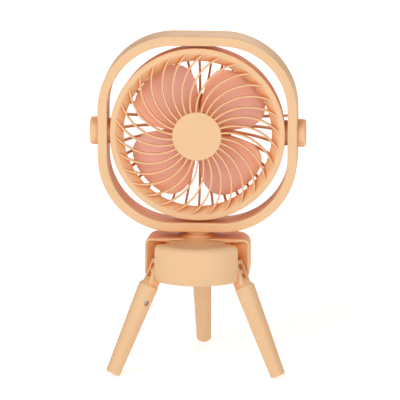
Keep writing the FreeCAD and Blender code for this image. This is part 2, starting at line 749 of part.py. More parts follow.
def base_housing():
    bottom = BASE_BOTTOM + PLATE_T
    body = base_body()
    room = cylinder(BASE_R - BASE_WALL, BASE_TOP - BASE_WALL - bottom, V(0, 0, bottom))
    flat = SADDLE_HALF - SADDLE_WALL - EASE / 2 - BASE_WALL
    room = room.common(block(-flat, flat, -BASE_R, BASE_R, bottom, BASE_TOP))
    room = room.makeFillet(2.0, [e for e in room.Edges if e.BoundBox.ZMin > BASE_TOP - BASE_WALL - 1e-6])
    for wall in notch(BASE_WALL, bottom - 1, BASE_TOP):
        room = room.cut(wall)
    shell = body.cut(room)
    bearing = cylinder(POST_R + NECK_WALL, BASE_TOP - 0.5 - bearing_bottom(), V(0, 0, bearing_bottom()))
    pillars = [boss.common(body) for boss in screw_bosses()]
    lugs = [around_z(hinge_lug(), turn) for turn in LEG_TURNS]
    shell = fuse([shell, bearing] + pillars + lugs)
    shell = shell.cut(cylinder(POST_R + RUN, BASE_TOP, V(0, 0, bearing_bottom() - 1)))
    for x, y in BASE_SCREW_PLACES:
        shell = shell.cut(cylinder(BASE_SCREW_R, 14.0, V(x, y, bottom)))
    button_hole = cylinder(BUTTON_R + EASE, 12.0, V(0, BASE_R - 8.0, CONTROL_Z), AXIS_Y)
    shell = shell.cut(control_frame(button_hole, -CONTROL_TURN))
    shell = shell.cut(control_frame(socket_body(SOCKET_W + 2 * RUN, SOCKET_H + 2 * RUN, 12.0), CONTROL_TURN))
    for turn in window_turns():
        hole = cylinder(WINDOW_R + RUN, 12.0, V(0, BASE_R - 8.0, CONTROL_Z), AXIS_Y)
        shell = shell.cut(control_frame(hole, turn))
    return shell.cut(saddle_cover()).removeSplitter()


def bottom_plate():
    plate = cylinder(BASE_R, PLATE_T, V(0, 0, BASE_BOTTOM))
    edge = min(PLATE_EDGE, PLATE_T - 0.2)
    plate = plate.makeFillet(edge, [e for e in plate.Edges if e.BoundBox.ZMax < BASE_BOTTOM + 1e-6])
    plate = plate.common(side_flats())
    for cut in notch(0, BASE_BOTTOM - 1, BASE_BOTTOM + PLATE_T + 1):
        plate = plate.cut(cut)
    for x, y in BASE_SCREW_PLACES:
        plate = plate.cut(cylinder(BASE_SCREW_R + RUN, PLATE_T + 2, V(x, y, BASE_BOTTOM - 1)))
        plate = plate.cut(cylinder(2.8, 1.5, V(x, y, BASE_BOTTOM)))
    foot = BASE_BOTTOM + PLATE_T - 0.5
    posts = [cylinder(2.6, board_bottom() - foot, V(x, y, foot))
             for x, y in board_screw_places()]
    plate = fuse([plate] + posts)
    for x, y in board_screw_places():
        plate = plate.cut(cylinder(1.0, 8.0, V(x, y, board_bottom() - 8.0)))
    return plate


def base_screws():
    screws = []
    for x, y in BASE_SCREW_PLACES:
        screws.append(pan_screw(2.6, 1.3, BASE_SCREW_R, 12.0, V(x, y, BASE_BOTTOM + 1.5), AXIS_Z))
    return Part.makeCompound(screws)


def saddle_profile(y, outset, corner):
    """Closed outline of the saddle at one depth: straight foot, rounded upper corners."""
    half = SADDLE_HALF - outset
    top = SADDLE_TOP - outset
    low = SADDLE_BOTTOM
    k = corner * (1 - math.sqrt(0.5))
    points = {
        "a": V(-half, y, low), "b": V(-half, y, top - corner), "c": V(-half + k, y, top - k),
        "d": V(-half + corner, y, top), "e": V(half - corner, y, top), "f": V(half - k, y, top - k),
        "g": V(half, y, top - corner), "h": V(half, y, low),
    }
    return Part.Wire([
        Part.makeLine(points["a"], points["b"]),
        Part.Arc(points["b"], points["c"], points["d"]).toShape(),
        Part.makeLine(points["d"], points["e"]),
        Part.Arc(points["e"], points["f"], points["g"]).toShape(),
        Part.makeLine(points["g"], points["h"]),
        Part.makeLine(points["h"], points["a"]),
    ])


def saddle_cover():
    """Arched band over the round base, open in front, with a hole for the collar."""
    wide = SADDLE_CORNER_BACK
    narrow = SADDLE_CORNER_FRONT
    outer = Part.makeLoft([
        saddle_profile(SADDLE_FRONT, 0, narrow),
        saddle_profile(SADDLE_BACK, 0, wide),
    ], True, True)
    rims = [e for e in outer.Edges if e.BoundBox.ZMax > SADDLE_BOTTOM + 1
            and (e.BoundBox.YMax < SADDLE_FRONT + 1e-3 or e.BoundBox.YMin > SADDLE_BACK - 1e-3)]
    outer = outer.makeFillet(SADDLE_EDGE, rims)
    wall = SADDLE_WALL
    inner = Part.makeLoft([
        saddle_profile(SADDLE_FRONT - 1, wall, narrow - wall),
        saddle_profile(SADDLE_BACK + 1, wall, wide - wall),
    ], True, True)
    cover = outer.cut(inner)
    side = block(-BASE_R - 9, BASE_R + 9, SADDLE_FRONT, SADDLE_BACK, SADDLE_BOTTOM, SADDLE_TOP + 9)
    corners = [e for e in side.Edges if e.BoundBox.ZMax < SADDLE_BOTTOM + 1e-6 and e.BoundBox.YLength < 1e-6]
    side = side.makeFillet(SADDLE_FOOT_CORNER, corners)
    foot = block(-SADDLE_HALF, SADDLE_HALF, SADDLE_FRONT, SADDLE_BACK, SADDLE_BOTTOM, SADDLE_TOP + 9)
    corners = [e for e in foot.Edges if e.BoundBox.ZMax < SADDLE_BOTTOM + 1e-6 and e.BoundBox.XLength < 1e-6]
    foot = foot.makeFillet(SADDLE_FOOT_CORNER, corners)
    cover = cover.common(side).common(foot)
    reach = COLLAR_FOOT_R + 3
    bridge = block(-reach, reach, SADDLE_FRONT, SADDLE_BACK, BASE_TOP, BASE_TOP + BRIDGE_T)
    bell = collar_bell(EASE).fuse(cylinder(COLLAR_R, 20.0, V(0, 0, BASE_TOP - 5)))
    hole = cylinder(COLLAR_R + EASE, 20.0, V(0, 0, BASE_TOP - 5))
    return cover.cut(bell).fuse(bridge).cut(hole).removeSplitter()


# Power pack and controls

def cell_bottom():
    return BASE_BOTTOM + PLATE_T + CRADLE_WALL


def battery_cell():
    cell = cylinder(CELL_R, CELL_LENGTH, V(-CELL_LENGTH / 2, CELL_Y, cell_bottom() + CELL_R), AXIS_X)
    return cell.makeFillet(1.0, [e for e in cell.Edges if e.Curve.TypeId == "Part::GeomCircle"])


def battery_cradle():
    """Open tray on the bottom plate that the cell lies in."""
    half = CELL_LENGTH / 2 - 8.5
    z0 = BASE_BOTTOM + PLATE_T
    tray = block(-half, half, CELL_Y - CELL_R - 1.0, CELL_Y + CELL_R + 1.0, z0, z0 + 7.0)
    start = V(-CELL_LENGTH / 2, CELL_Y, cell_bottom() + CELL_R)
    return tray.cut(cylinder(CELL_R + RUN, CELL_LENGTH, start, AXIS_X))


def battery_tabs():
    """Thin metal strips welded on the two ends of the cell."""
    x = CELL_LENGTH / 2
    z = cell_bottom() + CELL_R
    strip = block(x, x + TAB_METAL_T, CELL_Y - 3.0, CELL_Y + 3.0, z - 6.0, z + 6.0)
    return mirrored_pair(strip)


def board_bottom():
    return BOARD_Z - BOARD_T


def board_screw_places():
    return ((-23.0, 19.5), (23.0, 19.5))


def circuit_board():
    """Crescent board behind the cell, cut back round the rear leg notch."""
    rim = BASE_R - BASE_WALL - EASE
    board = cylinder(rim, BOARD_T, V(0, 0, board_bottom()))
    board = board.common(block(-BOARD_HALF, BOARD_HALF, BOARD_FRONT_Y, rim + 1, board_bottom(), BOARD_Z))
    half = NOTCH_HALF + BASE_WALL + EASE
    board = board.cut(block(-half, half, NOTCH_FLOOR_R - BASE_WALL - EASE, rim + 1, board_bottom(), BOARD_Z))
    room = block(-BUTTON_R - 1.4, BUTTON_R + 1.4, button_levels()[1] - 2.2, BASE_R, board_bottom(), BOARD_Z)
    board = board.cut(control_frame(room, -CONTROL_TURN))
    for x, y in board_screw_places():
        board = board.cut(cylinder(1.1, BOARD_T, V(x, y, board_bottom())))
    return board


def board_screws():
    screws = []
    for x, y in board_screw_places():
        screws.append(pan_screw(2.0, 1.4, 1.0, 7.0, V(x, y, BOARD_Z), V(0, 0, -1)))
    return Part.makeCompound(screws)


def button_levels():
    """Radii of the button's parts: its front, the back of its cap and its stem's tip."""
    front = BASE_R + BUTTON_PROUD
    back = BASE_R - BASE_WALL - 0.6
    return front, back, back - 3.4


def power_button():
    front, back, tip = button_levels()
    cap = cylinder(BUTTON_R, front - back, V(0, back, CONTROL_Z), AXIS_Y)
    cap = cap.makeFillet(0.6, [e for e in cap.Edges if e.BoundBox.YMin > front - 1e-6])
    flange = cylinder(BUTTON_R + 0.9, 0.8, V(0, back - 0.8, CONTROL_Z), AXIS_Y)
    inside = cylinder(BASE_R - BASE_WALL - 0.35, 40.0, V(0, 0, CONTROL_Z - 20.0))
    stem = cylinder(STEM_R, back - tip, V(0, tip, CONTROL_Z), AXIS_Y)
    return control_frame(fuse([cap, flange.common(inside), stem]), -CONTROL_TURN)


def power_switch():
    """Push switch on the board; the button's stem runs in its hole."""
    front, back, tip = button_levels()
    face = back - 0.8 - BUTTON_TRAVEL - 0.3
    half = SWITCH_SIZE / 2
    body = block(-half, half, face - SWITCH_DEPTH, face, BOARD_Z, BOARD_Z + SWITCH_SIZE)
    start = V(0, tip - BUTTON_TRAVEL - 0.3, CONTROL_Z)
    hole = cylinder(STEM_R + RUN, face - start.y, start, AXIS_Y)
    return control_frame(body.cut(hole), -CONTROL_TURN)


def socket_body(width, height, depth):
    """Flat oval prism that ends flush with the round wall, in the frame of the back."""
    radius = height / 2
    reach = width / 2 - radius
    start = BASE_R - depth
    middle = block(-reach, reach, start, BASE_R + 1, CONTROL_Z - radius, CONTROL_Z + radius)
    ends = [cylinder(radius, depth + 1, V(x, start, CONTROL_Z), AXIS_Y) for x in (-reach, reach)]
    return fuse([middle] + ends)


def usb_socket():
    """Charging socket: a flat oval sleeve with a tongue, its feet on the board."""
    shell = socket_body(SOCKET_W, SOCKET_H, SOCKET_DEPTH)
    inner = socket_body(SOCKET_W - 2 * SOCKET_WALL, SOCKET_H - 2 * SOCKET_WALL, SOCKET_DEPTH - 1.0)
    y0 = BASE_R - SOCKET_DEPTH
    tongue = block(-3.3, 3.3, y0 + 0.5, BASE_R - 1.5, CONTROL_Z - 0.35, CONTROL_Z + 0.35)
    feet = block(-4.0, 4.0, y0, BASE_R - BASE_WALL - 1.2, BOARD_Z, CONTROL_Z - SOCKET_H / 2 + 0.2)
    wall = cylinder(BASE_R - 0.1, 40.0, V(0, 0, CONTROL_Z - 20.0))
    return control_frame(fuse([shell.cut(inner), tongue, feet]).common(wall), CONTROL_TURN)


def window_turns():
    return [WINDOW_TURN + WINDOW_PITCH * k for k in range(WINDOWS)]


def indicator_windows():
    """Clear light pipes in the wall, between the rear leg and the socket."""
    pipes = []
    for turn in window_turns():
        pipe = cylinder(WINDOW_R, BASE_WALL + 0.3, V(0, BASE_R - BASE_WALL - 0.2, CONTROL_Z), AXIS_Y)
        pipes.append(control_frame(pipe, turn))
    return Part.makeCompound(pipes)


# Legs, built for the leg that points to -Y

def leg_place(shape):
    """From an upright leg whose hinge pin is at the origin to the opened leg."""
    copy = shape.copy()
    copy.rotate(ORIGIN, AXIS_X, -LEG_SPLAY)
    copy.translate(V(0, -PIVOT_R, PIVOT_Z))
    return copy


def knuckle():
    """Block with an open slot for the lug, and a spigot that fits in the tube."""
    half_w = KNUCKLE_W / 2
    body = block(-half_w, half_w, -KNUCKLE_OUT, KNUCKLE_IN, -RIM_DOWN, KNUCKLE_UP)
    corners = [e for e in body.Edges if abs(e.tangentAt(0).z) > 0.9]
    body = body.makeFillet(KNUCKLE_EDGE, corners)
    body = body.makeFillet(0.8, [e for e in body.Edges if e.BoundBox.ZMin > KNUCKLE_UP - 1e-6])
    cone = Part.makeCone(TUBE_TOP_R - 0.4, KNUCKLE_OUT + 1.0, 4.6, V(0, 0, -RIM_DOWN), AXIS_Z)
    spigot = cylinder(SPIGOT_R, SPIGOT_LENGTH + 1, V(0, 0, -RIM_DOWN - SPIGOT_LENGTH))
    solid = fuse([body, cone, spigot])
    slot = block(-SLOT_W / 2, SLOT_W / 2, -KNUCKLE_OUT - 1, KNUCKLE_IN + 1, -SLOT_HALF, SLOT_HALF)
    mouth = block(-SLOT_W / 2, SLOT_W / 2, 0, KNUCKLE_IN + 3, -SLOT_HALF, KNUCKLE_UP + 1)
    solid = solid.cut(slot).cut(mouth)
    solid = solid.cut(cylinder(PIN_R, KNUCKLE_W + 2, V(-half_w - 1, 0, 0), AXIS_X))
    bore = cylinder(LEG_SCREW_R, SPIGOT_R + 4.5, V(-4.0, 0, -RIM_DOWN - LEG_SCREW_DOWN), AXIS_X)
    seat = cylinder(LEG_SCREW_HEAD_R + 0.1, 4.0, V(screw_seat(), 0, -RIM_DOWN - LEG_SCREW_DOWN), AXIS_X)
    return leg_place(solid.cut(bore).cut(seat))


def hinge_pin():
    half = KNUCKLE_W / 2 - 0.2
    return leg_place(cylinder(PIN_R, 2 * half, V(-half, 0, 0), AXIS_X))


def leg_tube():
    """Tapered leg with a rounded end, cut level where it stands."""
    top = -RIM_DOWN
    length = LEG_LENGTH - RIM_DOWN
    body = Part.makeCone(TUBE_FOOT_R, TUBE_TOP_R, length, V(0, 0, -LEG_LENGTH), AXIS_Z)
    body = body.makeFillet(FOOT_EDGE, [e for e in body.Edges if e.BoundBox.ZMax < -LEG_LENGTH + 1e-6])
    body = body.makeFillet(0.6, [e for e in body.Edges if e.BoundBox.ZMin > top - 1e-6])
    socket = cylinder(SPIGOT_R + RUN, SPIGOT_LENGTH + 0.5, V(0, 0, top - SPIGOT_LENGTH - 0.5))
    low = -LEG_LENGTH + 4.0
    reach = top - SPIGOT_LENGTH - low
    core = Part.makeCone(TUBE_FOOT_R - TUBE_WALL, SPIGOT_R - 0.6, reach, V(0, 0, low), AXIS_Z)
    hole = cylinder(LEG_SCREW_HEAD_R + 0.1, TUBE_TOP_R, V(0, 0, top - LEG_SCREW_DOWN), AXIS_X)
    body = leg_place(body.cut(socket).cut(core).cut(hole))
    return body.common(block(-20, 20, -200, 0, 0, 200))


def screw_seat():
    """Distance of the leg screw's seat from the leg's middle line."""
    return SPIGOT_R - 1.3


def leg_screw():
    z = -RIM_DOWN - LEG_SCREW_DOWN
    return leg_place(pan_screw(LEG_SCREW_HEAD_R, 1.3, LEG_SCREW_R, 7.6, V(screw_seat(), 0, z), V(-1, 0, 0)))


def all_nodes():
    """Every named piece, in the frame whose Z axis is the neck's swivel axis."""
    nodes = {
        "base_housing": base_housing(),
        "bottom_plate": bottom_plate(),
        "base_screws": base_screws(),
        "saddle_cover": saddle_cover(),
        "neck_collar": neck_collar(),
        "battery_cell": battery_cell(),
        "battery_cradle": battery_cradle(),
        "battery_tabs": battery_tabs(),
        "circuit_board": circuit_board(),
        "board_screws": board_screws(),
        "power_switch": power_switch(),
        "power_button": power_button(),
        "usb_socket": usb_socket(),
        "indicator_windows": indicator_windows(),
        "neck_post": neck_post(),
        "neck_retaining_ring": neck_retaining_ring(),
        "swivel_washer": swivel_washer(),
        "hoop_front_shell": hoop_shell(True),
        "hoop_rear_shell": hoop_shell(False),
        "hoop_screws": hoop_screws(),
        "pivot_screws": mirrored_pair(pivot_screw()),
        "pivot_bushes": mirrored_pair(pivot_bush()),
        "pivot_washers": mirrored_pair(pivot_washer()),
        "pivot_cap_right": pivot_cap(),
        "pivot_cap_left": pivot_cap().mirror(ORIGIN, AXIS_X),
    }
    head_parts = {
        "front_grille": front_grille(),
        "hub_cap": hub_cap(),
        "rear_shell": rear_shell(),
        "grille_screw": grille_screw(),
        "motor_can": motor_can(),
        "motor_bearings": motor_bearings(),
        "motor_screws": motor_screws(),
        "motor_cover": motor_cover(),
        "fan_blades": fan_blades(),
        "motor_shaft": motor_shaft(),
    }
    for name, shape in head_parts.items():
        nodes[name] = head_place(shape)
    leg_parts = {"tube": leg_tube(), "knuckle": knuckle(), "screw": leg_screw(), "hinge_pin": hinge_pin()}
    for side, turn in zip(LEG_NAMES, LEG_TURNS):
        for part, shape in leg_parts.items():
            nodes["leg_" + side + "_" + part] = around_z(shape, turn)
    return nodes


def main():
    os.makedirs("parts", exist_ok=True)
    nodes = all_nodes()
    box = Part.makeCompound(list(nodes.values())).optimalBoundingBox(False, False)
    shift = V(0, -(box.YMin + box.YMax) / 2, -box.ZMin)
    for name, shape in sorted(nodes.items()):
        shape.translate(shift)
        shape.exportStep("parts/" + name + ".step")
        print(name, "solids", len(shape.Solids), "volume", round(shape.Volume, 1), "valid", shape.isValid())
    print("neck axis at y =", round(shift.y, 3), "raised by", round(shift.z, 3))
    print("box", [round(v, 2) for v in (box.XLength, box.YLength, box.ZLength)])


if __name__ == "__main__":
    main()
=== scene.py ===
import json
import logging
import math
from dataclasses import dataclass, field
from enum import Enum
from typing import Callable, Sequence

import bmesh
import bpy
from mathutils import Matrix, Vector


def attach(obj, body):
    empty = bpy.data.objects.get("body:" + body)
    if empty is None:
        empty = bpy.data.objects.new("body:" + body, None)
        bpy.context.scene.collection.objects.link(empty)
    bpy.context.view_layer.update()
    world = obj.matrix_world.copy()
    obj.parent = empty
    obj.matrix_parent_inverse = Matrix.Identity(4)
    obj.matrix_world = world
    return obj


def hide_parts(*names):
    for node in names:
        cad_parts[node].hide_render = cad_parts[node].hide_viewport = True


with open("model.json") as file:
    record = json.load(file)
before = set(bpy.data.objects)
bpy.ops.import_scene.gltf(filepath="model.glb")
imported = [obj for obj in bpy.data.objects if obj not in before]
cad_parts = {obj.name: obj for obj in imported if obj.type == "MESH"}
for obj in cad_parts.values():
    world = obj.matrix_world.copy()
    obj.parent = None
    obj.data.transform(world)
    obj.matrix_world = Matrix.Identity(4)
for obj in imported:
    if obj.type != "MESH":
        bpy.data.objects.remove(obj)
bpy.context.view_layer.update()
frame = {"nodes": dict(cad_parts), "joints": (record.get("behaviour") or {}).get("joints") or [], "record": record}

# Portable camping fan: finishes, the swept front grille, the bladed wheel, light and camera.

MM = 0.001
LOG = logging.getLogger("camping_fan")

# Scale of each surface pattern, in repeats per metre
CLOUD_SCALE = 22.0
PATCH_SCALE = 60.0
SINK_SCALE = 130.0
TRACK_SCALE = 260.0
MARK_SCALE = 420.0
SPECK_SCALE = 900.0
FROST_SCALE = 3000.0

# Depth of the relief on each surface
SKIN_RELIEF = 0.12 * MM
METAL_RELIEF = 0.03 * MM
TRACK_RELIEF = 0.05 * MM

# Heights between which the painted shade in crevices fades out towards the feet
FEET_LOW = 20 * MM
FEET_HIGH = 60 * MM

Profile = list[tuple[float, float]]
Colour = tuple[float, float, float]


class Body(Enum):
    """The bodies that the pieces built here ride on."""

    HEAD = "head"
    IMPELLER = "impeller"


class Brush(Enum):
    """Direction of the fine lines on a worked metal surface."""

    TURNED = "turned"
    PLAIN = "plain"


def joint_place(name: str) -> Vector:
    """Gives a point on a joint's axis.

    Args:
        name: The joint's name in the frame.

    Returns:
        The point in metres.
    """
    joint = next(j for j in frame["joints"] if j["name"] == name)
    return Vector(joint["pos_m"])


# Shader node groups

class NodeSheet:
    """Adds nodes to one tree and places them in a row."""

    def __init__(self, tree: bpy.types.NodeTree) -> None:
        """Keeps the tree and starts at its left edge."""
        self.tree = tree
        self.column = 0

    def add(self, kind: str, **settings: object) -> bpy.types.Node:
        """Adds one node.

        Args:
            kind: The node's type name.
            **settings: Attributes to set on the node.

        Returns:
            The new node.
        """
        node = self.tree.nodes.new(kind)
        node.location = (self.column * 190, 0)
        self.column += 1
        for key, value in settings.items():
            setattr(node, key, value)
        return node

    def link(self, source: bpy.types.NodeSocket, target: bpy.types.NodeSocket) -> None:
        """Joins an output to an input."""
        self.tree.links.new(source, target)

    def noise(self, place: bpy.types.NodeSocket, scale: object, detail: float) -> bpy.types.NodeSocket:
        """Adds a noise texture.

        Args:
            place: The coordinates that it reads.
            scale: A number, or the socket that gives the scale.
            detail: Octaves of detail.

        Returns:
            The noise's value socket.
        """
        node = self.add("ShaderNodeTexNoise")
        self.link(place, node.inputs["Vector"])
        if isinstance(scale, bpy.types.NodeSocket):
            self.link(scale, node.inputs["Scale"])
        else:
            node.inputs["Scale"].default_value = scale
        node.inputs["Detail"].default_value = detail
        return node.outputs["Fac"]

    def math(self, operation: str, first: object, second: object) -> bpy.types.NodeSocket:
        """Adds a math node on two sockets or numbers and gives its result."""
        node = self.add("ShaderNodeMath", operation=operation)
        for socket, value in zip(node.inputs, (first, second)):
            if isinstance(value, bpy.types.NodeSocket):
                self.link(value, socket)
            else:
                socket.default_value = value
        return node.outputs[0]

    def ramp(self, value: bpy.types.NodeSocket, low: float, high: float,
             to_low: object = 0.0, to_high: object = 1.0) -> bpy.types.NodeSocket:
        """Maps low to high of a value onto a new span, held at its ends."""
        node = self.add("ShaderNodeMapRange")
        self.link(value, node.inputs["Value"])
        node.inputs["From Min"].default_value = low
        node.inputs["From Max"].default_value = high
        for name, end in (("To Min", to_low), ("To Max", to_high)):
            if isinstance(end, bpy.types.NodeSocket):
                self.link(end, node.inputs[name])
            else:
                node.inputs[name].default_value = end
        return node.outputs["Result"]

    def mix(self, factor: object, first: object, second: object) -> bpy.types.NodeSocket:
        """Adds a colour mix and gives its result."""
        node = self.add("ShaderNodeMix", data_type="RGBA")
        pairs = zip((node.inputs[0], node.inputs[6], node.inputs[7]), (factor, first, second))
        for socket, value in pairs:
            if isinstance(value, bpy.types.NodeSocket):
                self.link(value, socket)
            elif isinstance(value, tuple):
                socket.default_value = (*value, 1.0)
            else:
                socket.default_value = value
        return node.outputs[2]


def shader_group(name: str, inputs: Sequence[tuple[str, str, object]], outputs: Sequence[tuple[str, str]],
                 ) -> tuple[bpy.types.NodeTree, NodeSheet, bpy.types.Node, bpy.types.Node]:
    """Starts a shader node group.

    Args:
        name: The group's name.
        inputs: Name, socket type and default of each input.
        outputs: Name and socket type of each output.

    Returns:
        The tree, its node sheet, and its input and output nodes.
    """
    tree = bpy.data.node_groups.new(name, "ShaderNodeTree")
    for label, kind, default in inputs:
        socket = tree.interface.new_socket(label, in_out="INPUT", socket_type=kind)
        socket.default_value = default
    for label, kind in outputs:
        tree.interface.new_socket(label, in_out="OUTPUT", socket_type=kind)
    sheet = NodeSheet(tree)
    return tree, sheet, sheet.add("NodeGroupInput"), sheet.add("NodeGroupOutput")


def moulded_skin_group() -> bpy.types.NodeTree:
    """Colour drift, painted shade in corners and hollows, roughness patches and fine grain of a moulded plastic
    skin.
    """
    tree, sheet, given, result = shader_group(
        "Moulded skin with painted shade",
        [("Place", "NodeSocketVector", (0.0, 0.0, 0.0)), ("Body Colour", "NodeSocketColor", (1, 1, 1, 1)),
         ("Drift Colour", "NodeSocketColor", (1, 1, 1, 1)), ("Drift", "NodeSocketFloat", 0.5),
         ("Gloss Low", "NodeSocketFloat", 0.35), ("Gloss High", "NodeSocketFloat", 0.5),
         ("Grain Scale", "NodeSocketFloat", 2500.0), ("Openness", "NodeSocketFloat", 1.0),
         ("Painted Shade Colour", "NodeSocketColor", (1, 1, 1, 1))],
        [("Colour", "NodeSocketColor"), ("Roughness", "NodeSocketFloat"), ("Height", "NodeSocketFloat")])
    place = given.outputs["Place"]
    flow = sheet.noise(place, CLOUD_SCALE, 3.0)
    cloud = sheet.ramp(flow, 0.32, 0.7)
    amount = sheet.math("MULTIPLY", cloud, given.outputs["Drift"])
    tinted = sheet.mix(amount, given.outputs["Body Colour"], given.outputs["Drift Colour"])
    specks = sheet.ramp(sheet.noise(place, SPECK_SCALE, 1.0), 0.68, 0.8, 0.0, 0.25)
    speckled = sheet.mix(specks, tinted, given.outputs["Drift Colour"])
    # Painted shade: where ambient occlusion finds nearby surfaces, a deep orange shade colour is mixed in, held
    # off near the feet
    parted = sheet.add("ShaderNodeSeparateXYZ")
    sheet.link(place, parted.inputs["Vector"])
    by_feet = sheet.ramp(parted.outputs["Z"], FEET_LOW, FEET_HIGH, 1.0, 0.0)
    openness = sheet.math("MAXIMUM", given.outputs["Openness"], by_feet)
    painted_shade = sheet.ramp(openness, 0.3, 0.92, 1.0, 0.0)
    sheet.link(sheet.mix(painted_shade, speckled, given.outputs["Painted Shade Colour"]), result.inputs["Colour"])
    patches = sheet.noise(place, PATCH_SCALE, 4.0)
    rough = sheet.ramp(patches, 0.3, 0.7, given.outputs["Gloss Low"], given.outputs["Gloss High"])
    sheet.link(rough, result.inputs["Roughness"])
    grain = sheet.noise(place, given.outputs["Grain Scale"], 2.0)
    sink = sheet.noise(place, SINK_SCALE, 1.0)
    height = sheet.math("ADD", sheet.math("MULTIPLY", grain, 0.6), sheet.math("MULTIPLY", sink, 1.0))
    sheet.link(height, result.inputs["Height"])
    return tree


def worked_metal_group() -> bpy.types.NodeTree:
    """Fine tool lines and handling marks of a plated or turned metal surface."""
    tree, sheet, given, result = shader_group(
        "Worked metal",
        [("Place", "NodeSocketVector", (0.0, 0.0, 0.0)), ("Metal Colour", "NodeSocketColor", (1, 1, 1, 1)),
         ("Tarnish Colour", "NodeSocketColor", (1, 1, 1, 1)), ("Line Scale", "NodeSocketFloat", 4000.0)],
        [("Colour", "NodeSocketColor"), ("Roughness", "NodeSocketFloat"), ("Height", "NodeSocketFloat")])
    place = given.outputs["Place"]
    marks = sheet.ramp(sheet.noise(place, MARK_SCALE, 4.0), 0.35, 0.75)
    sheet.link(sheet.mix(marks, given.outputs["Metal Colour"], given.outputs["Tarnish Colour"]),
               result.inputs["Colour"])
    lines = sheet.noise(place, given.outputs["Line Scale"], 1.0)
    sheet.link(sheet.ramp(lines, 0.3, 0.7, 0.24, 0.46), result.inputs["Roughness"])
    sheet.link(lines, result.inputs["Height"])
    return tree


SKIN = moulded_skin_group()
METAL = worked_metal_group()


@dataclass(frozen=True)
class Finish:
    """One material: a principled surface fed by a shared node group."""

    name: str
    colour: Colour
    second: Colour
    bump: float = 0.1

    def start(self) -> tuple[bpy.types.Material, NodeSheet, bpy.types.Node, bpy.types.NodeSocket]:
        """Makes the material with its principled shader and object coordinates."""
        material = bpy.data.materials.new(self.name)
        material.use_nodes = True
        material.diffuse_color = (*self.colour, 1.0)
        sheet = NodeSheet(material.node_tree)
        shader = material.node_tree.nodes["Principled BSDF"]
        place = sheet.add("ShaderNodeTexCoord").outputs["Object"]
        return material, sheet, shader, place

    def dress(self, sheet: NodeSheet, shader: bpy.types.Node, group: bpy.types.Node, depth: float) -> None:
        """Feeds the group's colour, roughness and height into the shader.

        Args:
            sheet: The material's node sheet.
            shader: The principled shader.
            group: The placed node group.
            depth: Real height of the relief in metres.
        """
        sheet.link(group.outputs["Colour"], shader.inputs["Base Color"])
        sheet.link(group.outputs["Roughness"], shader.inputs["Roughness"])
        self.raise_relief(sheet, shader, group.outputs["Height"], depth)

    def raise_relief(self, sheet: NodeSheet, shader: bpy.types.Node, height: bpy.types.NodeSocket,
                     depth: float) -> None:
        """Turns a height into relief on the shader's normal."""
        relief = sheet.add("ShaderNodeBump")
        relief.inputs["Strength"].default_value = self.bump
        relief.inputs["Distance"].default_value = depth
        sheet.link(height, relief.inputs["Height"])
        sheet.link(relief.outputs["Normal"], shader.inputs["Normal"])


@dataclass(frozen=True)
class MouldedPlastic(Finish):
    """Satin injection moulded plastic with a fine spark grain."""

    drift: float = 0.5
    gloss: tuple[float, float] = (0.38, 0.52)
    grain: float = 2600.0
    coat: float = 0.0
    glow: float = 0.0
    shine: float = 0.4
    # Colour painted in as shade where ambient occlusion finds nearby surfaces, and the reach of that occlusion
    painted_shade: Colour | None = None
    painted_shade_reach: float = 35 * MM

    def build(self) -> bpy.types.Material:
        """Makes the material."""
        material, sheet, shader, place = self.start()
        group = sheet.add("ShaderNodeGroup", node_tree=SKIN)
        sheet.link(place, group.inputs["Place"])
        group.inputs["Body Colour"].default_value = (*self.colour, 1.0)
        group.inputs["Drift Colour"].default_value = (*self.second, 1.0)
        group.inputs["Drift"].default_value = self.drift
        group.inputs["Gloss Low"].default_value = self.gloss[0]
        group.inputs["Gloss High"].default_value = self.gloss[1]
        group.inputs["Grain Scale"].default_value = self.grain
        # Painted shade: ambient occlusion feeds the skin group, which mixes the shade colour into corners and
        # hollows
        if self.painted_shade:
            occlusion_probe = sheet.add("ShaderNodeAmbientOcclusion", samples=6)
            occlusion_probe.inputs["Distance"].default_value = self.painted_shade_reach
            sheet.link(occlusion_probe.outputs["AO"], group.inputs["Openness"])
            group.inputs["Painted Shade Colour"].default_value = (*self.painted_shade, 1.0)
        self.dress(sheet, shader, group, SKIN_RELIEF)
        shader.inputs["Coat Weight"].default_value = self.coat
        shader.inputs["Coat Roughness"].default_value = 0.3
        shader.inputs["Specular IOR Level"].default_value = self.shine
        shader.inputs["Subsurface Weight"].default_value = self.glow
        shader.inputs["Subsurface Radius"].default_value = (1.0, 0.42, 0.18)
        shader.inputs["Subsurface Scale"].default_value = 3.0 * MM
        return material


@dataclass(frozen=True)
class WorkedMetal(Finish):
    """Plated or turned metal with fine lines."""

    lines: float = 4000.0
    brush: Brush = Brush.PLAIN

    def build(self) -> bpy.types.Material:
        """Makes the material."""
        material, sheet, shader, place = self.start()
        if self.brush is Brush.TURNED:
            stretch = sheet.add("ShaderNodeMapping")
            stretch.inputs["Scale"].default_value = (0.08, 1.0, 0.08)
            sheet.link(place, stretch.inputs["Vector"])
            place = stretch.outputs["Vector"]
        group = sheet.add("ShaderNodeGroup", node_tree=METAL)
        sheet.link(place, group.inputs["Place"])
        group.inputs["Metal Colour"].default_value = (*self.colour, 1.0)
        group.inputs["Tarnish Colour"].default_value = (*self.second, 1.0)
        group.inputs["Line Scale"].default_value = self.lines
        self.dress(sheet, shader, group, METAL_RELIEF)
        shader.inputs["Metallic"].default_value = 1.0
        return material


@dataclass(frozen=True)
class FrostedWindow(Finish):
    """Clear plastic light pipe with a frosted end."""

    def build(self) -> bpy.types.Material:
        """Makes the material."""
        material, sheet, shader, place = self.start()
        frost = sheet.noise(place, FROST_SCALE, 2.0)
        sheet.link(sheet.ramp(frost, 0.3, 0.7, 0.2, 0.38), shader.inputs["Roughness"])
        sheet.link(sheet.mix(frost, self.colour, self.second), shader.inputs["Base Color"])
        shader.inputs["Transmission Weight"].default_value = 0.6
        shader.inputs["IOR"].default_value = 1.46
        return material


